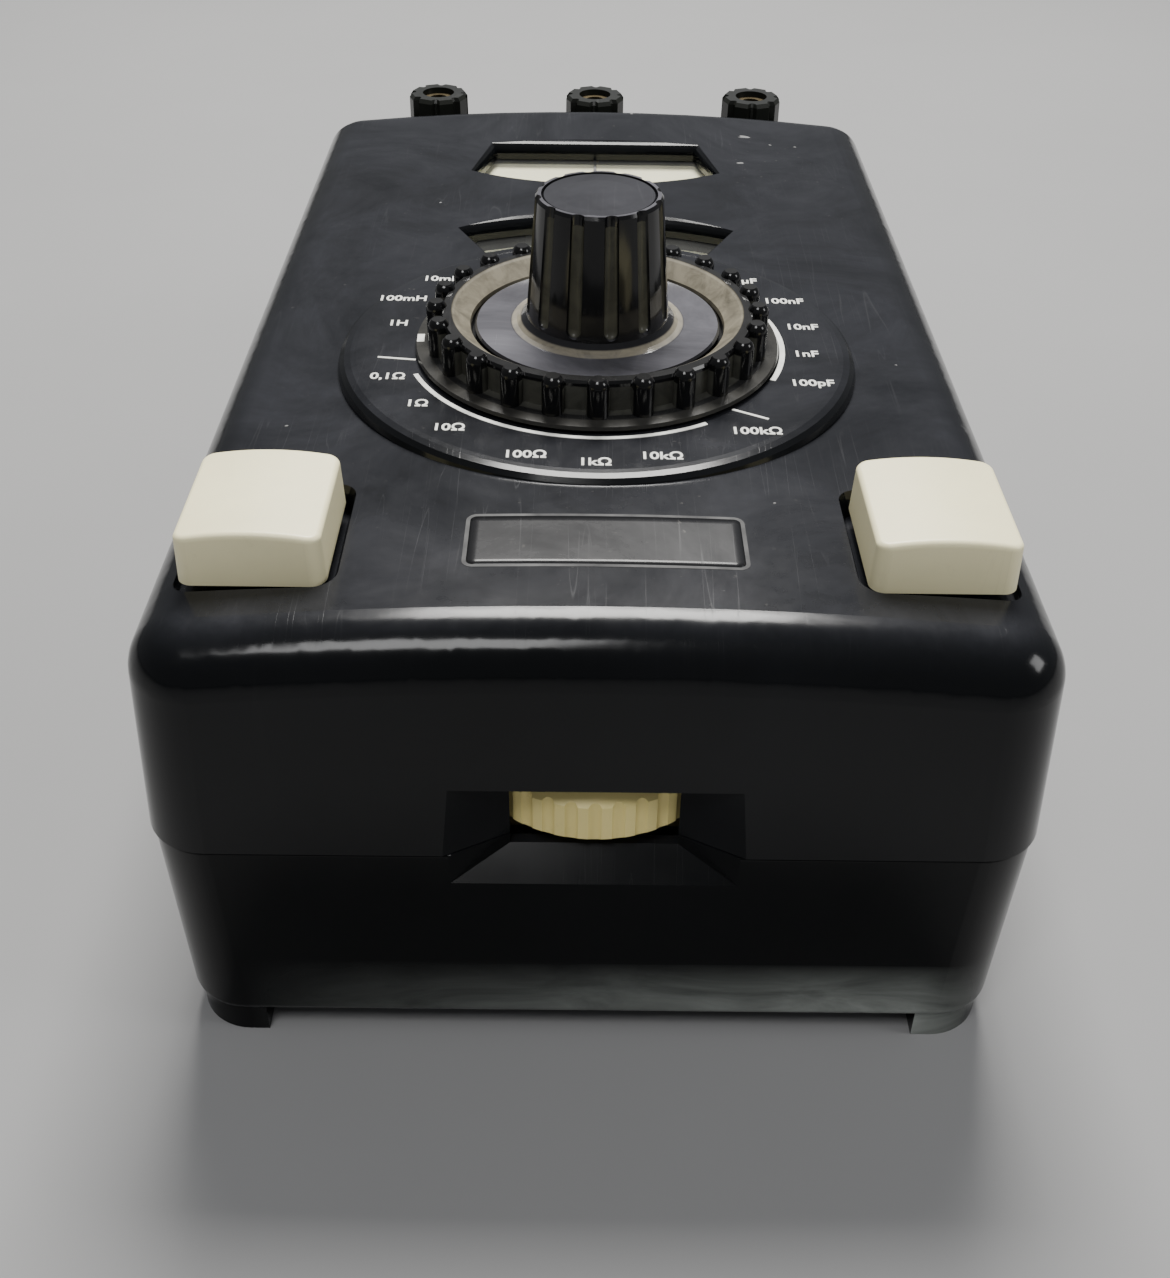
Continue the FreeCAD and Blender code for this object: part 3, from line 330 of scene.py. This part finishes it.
use = {
    "shell": ["upper_shell"], "low": ["lower_shell", "battery_cover"], "ring": ["range_ring"], "knob": ["balance_knob"],
    "cap": ["knob_cap"], "term": ["terminal_left", "terminal_middle", "terminal_right", "terminal_collars"],
    "btn": ["button_left", "button_right"], "wheel": ["thumbwheel"], "scale": ["scale_ring", "meter_scale"],
    "pane": ["meter_pane", "scale_pane"],
    "brass": ["panel_bush", "bush_nut", "selector_tube", "balance_shaft", "lower_bush", "terminal_nuts",
              "washer_left", "washer_middle", "washer_right", "switch_contacts", "contact_sets", "battery_clips",
              "control_spindle"],
    "post": ["terminal_posts"],
    "steel": ["case_screws", "cover_screw", "chassis_screws", "spring_left", "spring_right", "wafer_pillars", "meter_bridge",
              "meter_core"],
    "alu": ["chassis_plate", "scale_drum", "meter_base", "slide_winding"],
    "lam": ["switch_wafer", "switch_rotor", "slide_former", "component_board", "control_body", "wiper_arm"],
    "iron": ["meter_magnet", "meter_needle"], "wire": ["wiring"], "card": ["battery"],
    "cer": ["range_resistors", "stem_left", "stem_right", "button_guides"], "wax": ["range_capacitors", "moving_coil"],
}
done = set()
for key, names in use.items():
    for n in names:
        if n in nodes:
            o = nodes[n]
            o.data.materials.clear()
            o.data.materials.append(M[key])
            done.add(n)
for n, o in nodes.items():
    if n not in done:
        o.data.materials.clear()
        o.data.materials.append(M["steel"])


# ---------------------------------------------------------------- piece helpers
def piece(name, me, mat, body):
    o = bpy.data.objects.new(name, me)
    bpy.context.scene.collection.objects.link(o)
    o.data.materials.clear()
    o.data.materials.append(M[mat])
    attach(o, body)
    return o


def mesh_from(name, verts, faces, smooth=False):
    me = bpy.data.meshes.new(name)
    me.from_pydata([(x * MM, y * MM, z * MM) for x, y, z in verts], [], faces)
    me.update()
    if smooth:
        for p in me.polygons:
            p.use_smooth = True
    return me


def strip(path, width, height, surf, closed=False):
    """A raised band of ink along a path of (x, y), lying on surf(x, y)."""
    verts, faces = [], []
    n = len(path)
    for i, (x, y) in enumerate(path):
        a = path[(i - 1) % n] if (closed or i > 0) else path[i]
        b = path[(i + 1) % n] if (closed or i < n - 1) else path[i]
        dx, dy = b[0] - a[0], b[1] - a[1]
        l = math.hypot(dx, dy) or 1
        nx, ny = -dy / l * width / 2, dx / l * width / 2
        for s, h in ((-1, -0.05), (-1, height), (1, height), (1, -0.05)):
            px, py = x + s * nx, y + s * ny
            verts.append((px, py, surf(px, py) + h))
    seg = n if closed else n - 1
    for i in range(seg):
        a, b = 4 * i, 4 * ((i + 1) % n)
        for k in range(4):
            faces.append((a + k, a + (k + 1) % 4, b + (k + 1) % 4, b + k))
    if not closed:
        faces.append((3, 2, 1, 0))
        e = 4 * (n - 1)
        faces.append((e, e + 1, e + 2, e + 3))
    return verts, faces


def join(parts):
    verts, faces = [], []
    for v, f in parts:
        k = len(verts)
        verts += v
        faces += [tuple(i + k for i in q) for q in f]
    return verts, faces


def boss(x, y):
    return Z_BOSS


LEG_DY = 0.5                 # the printed ring sits a little behind the dial axis


def polar(r, deg, dy=0.0):
    """deg from the front, positive towards the right side."""
    t = math.radians(deg)
    return AX + r * math.sin(t), AY + dy - r * math.cos(t)


def arc(r, a0, a1, n=40):
    return [polar(r, a0 + (a1 - a0) * i / n, LEG_DY) for i in range(n + 1)]


# ---------------------------------------------------------------- legend, real raised ink
def text_mesh(name, body, size, x, y, z, turn=0.0, extrude=0.06, bold=0.06):
    c = bpy.data.curves.new(name, "FONT")
    c.body = body
    c.size = size * MM
    c.align_x = "CENTER"
    c.align_y = "CENTER"
    c.extrude = extrude * MM
    c.offset = bold * MM
    c.resolution_u = 3
    o = bpy.data.objects.new(name + "_c", c)
    bpy.context.scene.collection.objects.link(o)
    bpy.context.view_layer.update()
    me = bpy.data.meshes.new_from_object(o.evaluated_get(bpy.context.evaluated_depsgraph_get()))
    bpy.data.objects.remove(o)
    me.transform(Matrix.Translation((x * MM, y * MM, z * MM)) @ Matrix.Rotation(turn, 4, "Z"))
    me.name = name
    return me


OHM = "Ω"
MU = "µ"
LEG = [("10mH", -131.8, 35.3), ("100mH", -115.6, 35.9), ("1H", -100.9, 32.8), ("0,1" + OHM, -69.3, 34.1),
       ("1" + OHM, -52.6, 33.6), ("10" + OHM, -38.1, 34.8), ("100" + OHM, -16.4, 36.2), ("1k" + OHM, -0.6, 36.6),
       ("10k" + OHM, 14.5, 35.9), ("100k" + OHM, 39.9, 35.8), ("100pF", 68.8, 35.1), ("1nF", 84.7, 33.0),
       ("10nF", 101.0, 33.9), ("100nF", 117.3, 35.2), ("1" + MU + "F", 133.3, 35.0)]
meshes = []
for i, (t, a, r) in enumerate(LEG):
    x, y = polar(r, a, LEG_DY)
    meshes.append(text_mesh("legend_%02d" % i, t, 2.75, x, y, Z_BOSS + 0.03))
bm = bmesh.new()
for me in meshes:
    bm.from_mesh(me)
lines = [strip([polar(28.9, -77.0, LEG_DY), polar(34.6, -80.5, LEG_DY)], 0.45, 0.09, boss),
         strip([polar(29.0, 43.3, LEG_DY), polar(34.6, 46.3, LEG_DY)], 0.45, 0.09, boss),
         strip(arc(29.9, -68, 32), 0.75, 0.09, boss),
         strip(arc(29.3, 66, 108), 0.85, 0.09, boss)]
v, f = join(lines)
lm = mesh_from("legend_lines", v, f)
bm.from_mesh(lm)
lg = bpy.data.meshes.new("dial_legend")
bm.to_mesh(lg)
bm.free()
piece("dial_legend", lg, "white", "case")

# white index on the ring flange, at the place seen in the photograph
v, f = join([strip([polar(r, -88.0) for r in (26.9, 27.6, 28.3)], 2.6, 0.12, lambda x, y: Z_BOSS + 1.2)])
piece("range_index", mesh_from("range_index", v, f), "white", "range")

# ---------------------------------------------------------------- scale printing
Z_RINGTOP, Z_PLATETOP = 67.0, 67.9


def tick(r0, r1, deg, width, z, cx=AX, cy=AY):
    t = math.radians(deg)
    a = (cx + r0 * math.sin(t), cy + r0 * math.cos(t))
    b = (cx + r1 * math.sin(t), cy + r1 * math.cos(t))
    return strip([a, b], width, 0.05, lambda x, y: z)


def scale_print(name, parts, texts, body):
    m = bmesh.new()
    v, f = join(parts)
    m.from_mesh(mesh_from(name + "_t", v, f))
    for t in texts:
        m.from_mesh(t)
    me = bpy.data.meshes.new(name)
    m.to_mesh(me)
    m.free()
    piece(name, me, "ink", body)


ticks, texts = [], []
for i in range(101):
    deg = -150 + 3.0 * i
    ln = 3.4 if i % 10 == 0 else (2.6 if i % 5 == 0 else 1.7)
    ticks.append(tick(55.4 - ln, 55.4, deg, 0.22 if i % 10 == 0 else 0.14, Z_RINGTOP))
for i in range(11):
    deg = -150 + 30.0 * i
    t = math.radians(deg)
    texts.append(text_mesh("bal_%02d" % i, str(i), 3.0, AX + 49.6 * math.sin(t), AY + 49.6 * math.cos(t), Z_RINGTOP + 0.02, -t, 0.03, 0.03))
scale_print("balance_scale_print", ticks, texts, "balance")
ticks, texts = [], []
for i in range(21):
    deg = 180 - 25 + 2.5 * i
    ln = 2.4 if i % 5 == 0 else 1.4
    ticks.append(tick(25.6 - ln, 25.6, deg, 0.2 if i % 5 == 0 else 0.13, Z_PLATETOP, 0.0, 74.0))
arcp = [(25.6 * math.sin(math.radians(180 - 25 + 2.5 * i)), 74.0 + 25.6 * math.cos(math.radians(180 - 25 + 2.5 * i))) for i in range(21)]
ticks.append(strip(arcp, 0.14, 0.05, lambda x, y: Z_PLATETOP))
for k, lab in ((-20, "10"), (-10, "5"), (0, "0"), (10, "5"), (20, "10")):
    t = math.radians(180 + 1.25 * k)
    texts.append(text_mesh("met_%d" % k, lab, 2.1, 21.3 * math.sin(t), 74.0 + 21.3 * math.cos(t), Z_PLATETOP + 0.02, 0.0, 0.03, 0.03))
scale_print("meter_scale_print", ticks, texts, "case")

# ---------------------------------------------------------------- worn patch and settled specks on the panel


def top_z(x, y):
    return crown(x)


def round_rect(x0, y0, x1, y1, r, n=6):
    pts = []
    for cx, cy, a0 in ((x1 - r, y0 + r, -90), (x1 - r, y1 - r, 0), (x0 + r, y1 - r, 90), (x0 + r, y0 + r, 180)):
        for i in range(n + 1):
            t = math.radians(a0 + 90.0 * i / n)
            pts.append((cx + r * math.cos(t), cy + r * math.sin(t)))
    return pts


def dense(pts, step=1.5):
    out = []
    for i, a in enumerate(pts):
        b = pts[(i + 1) % len(pts)]
        n = max(1, int(math.hypot(b[0] - a[0], b[1] - a[1]) / step))
        out += [(a[0] + (b[0] - a[0]) * k / n, a[1] + (b[1] - a[1]) * k / n) for k in range(n)]
    return out


v, f = strip(dense(round_rect(-17.2, -90.0, 19.2, -78.3, 1.2)), 0.55, 0.035, top_z, closed=True)
piece("patch_outline", mesh_from("patch_outline", v, f), "edge", "case")
nx, ny = 26, 9
verts, faces = [], []
for lay in (0.022, -0.05):
    for j2 in range(ny + 1):
        for i2 in range(nx + 1):
            x = -17.0 + 36.0 * i2 / nx
            y = -89.8 + 11.3 * j2 / ny
            verts.append((x, y, crown(x) + lay))
off = (nx + 1) * (ny + 1)
for j2 in range(ny):
    for i2 in range(nx):
        a = j2 * (nx + 1) + i2
        faces.append((a, a + 1, a + nx + 2, a + nx + 1))
        faces.append((off + a, off + a + nx + 1, off + a + nx + 2, off + a + 1))
rim = [i2 for i2 in range(nx)] + [nx + j2 * (nx + 1) for j2 in range(ny)] + [ny * (nx + 1) + nx - i2 for i2 in range(nx)] + \
      [(ny - j2) * (nx + 1) for j2 in range(ny)]
for k in range(len(rim)):
    a, b2 = rim[k], rim[(k + 1) % len(rim)]
    faces.append((b2, a, off + a, off + b2))
piece("patch_field", mesh_from("patch_field", verts, faces, True), "worn", "case")

specks = []
seed = 7
for cx, cy, size, ext in ((32.1, 72.5, 0.9, 1.6), (29.8, 56.4, 0.7, 1.2), (37.2, 68.6, 0.35, 1.0), (42.5, 68.7, 0.4, 1.0), (8.0, 84.0, 0.45, 1.1),
                          (-46.0, -52.0, 0.3, 1.0), (48.0, -30.0, 0.3, 1.0), (-30.0, 33.0, 0.3, 1.0), (24.0, -74.0, 0.28, 1.0)):
    base = len(specks)
    n = 11
    ringp = []
    for k in range(n):
        seed = (seed * 1103515245 + 12345) % 2147483648
        q = 0.65 + 0.7 * seed / 2147483648.0
        t = 2 * math.pi * k / n
        ringp.append((cx + ext * size * q * math.cos(t), cy + size * q * math.sin(t)))
    vv = [(x, y, crown(x) - 0.03) for x, y in ringp] + [((x + cx) / 2, (y + cy) / 2, crown(x) + 0.06) for x, y in ringp] + [(cx, cy, crown(cx) + 0.09)]
    ff = []
    for k in range(n):
        k2 = (k + 1) % n
        ff.append((k, k2, n + k2, n + k))
        ff.append((n + k, n + k2, 2 * n))
    ff.append(tuple(reversed(range(n))))
    specks.append((vv, ff))
v, f = join(specks)
piece("panel_specks", mesh_from("panel_specks", v, f, True), "dust", "case")

# ---------------------------------------------------------------- floor, light, camera
bpy.ops.mesh.primitive_plane_add(size=12.0, location=(0, 0, 0))
floor = bpy.context.active_object
floor.name = "studio_floor"
fm, nt, b = new_mat("studio_floor")
fv = coords(nt)
fc = mix(nt, noise(nt, fv, 6.0, 6.0, 0.6), (0.245, 0.245, 0.248, 1), (0.285, 0.285, 0.288, 1))
nt.links.new(fc, b.inputs["Base Color"])
b.inputs["Roughness"].default_value = 0.8
floor.data.materials.append(fm)


def area(name, loc, target, size, size_y, power, color=(1, 1, 1)):
    l = bpy.data.lights.new(name, "AREA")
    l.shape = "RECTANGLE"
    l.size, l.size_y = size, size_y
    l.energy = power
    l.color = color
    o = bpy.data.objects.new(name, l)
    o.location = loc
    o.rotation_mode = "QUATERNION"
    o.rotation_quaternion = (Vector(target) - Vector(loc)).to_track_quat("-Z", "Y")
    bpy.context.scene.collection.objects.link(o)
    return o


# a wide soft panel overhead and a little behind, a weak one in front, one low at the right
area("key_top", (0.02, 0.50, 0.93), (0, -0.05, 0.06), 0.44, 0.40, 24.0, (1.0, 0.985, 0.95))
area("front_soft", (-0.20, -0.62, 1.05), (0, 0.0, 0.06), 0.4, 0.3, 5.0)
area("right_soft", (0.95, -0.25, 0.60), (0, -0.03, 0.05), 0.35, 0.35, 3.2)
w = bpy.data.worlds.new("studio")
bpy.context.scene.world = w
w.use_nodes = True
w.node_tree.nodes["Background"].inputs["Color"].default_value = (0.95, 0.97, 1.0, 1)
w.node_tree.nodes["Background"].inputs["Strength"].default_value = 0.20

F_PX, PITCH, YAW, ROLL = 1473.59, 37.76, 0.33, -0.83
CAM = (-2.44, -243.63, 179.97)
p, yw, ro = (math.radians(a) for a in (PITCH, YAW, ROLL))
fw = Vector((math.sin(yw) * math.cos(p), math.cos(yw) * math.cos(p), -math.sin(p)))
rt = Vector((math.cos(yw), -math.sin(yw), 0))
dn = fw.cross(rt)
r2 = rt * math.cos(ro) + dn * math.sin(ro)
d2 = dn * math.cos(ro) - rt * math.sin(ro)
cam = bpy.data.cameras.new("camera")
cam.sensor_fit = "AUTO"
cam.sensor_width = 36.0
cam.lens = F_PX / 1278.0 * 36.0
cam.clip_start, cam.clip_end = 0.01, 20.0
co = bpy.data.objects.new("camera", cam)
bpy.context.scene.collection.objects.link(co)
rotm = Matrix((r2, -d2, -fw)).transposed()
co.matrix_world = Matrix.Translation(Vector(CAM) * MM) @ rotm.to_4x4()
bpy.context.scene.camera = co
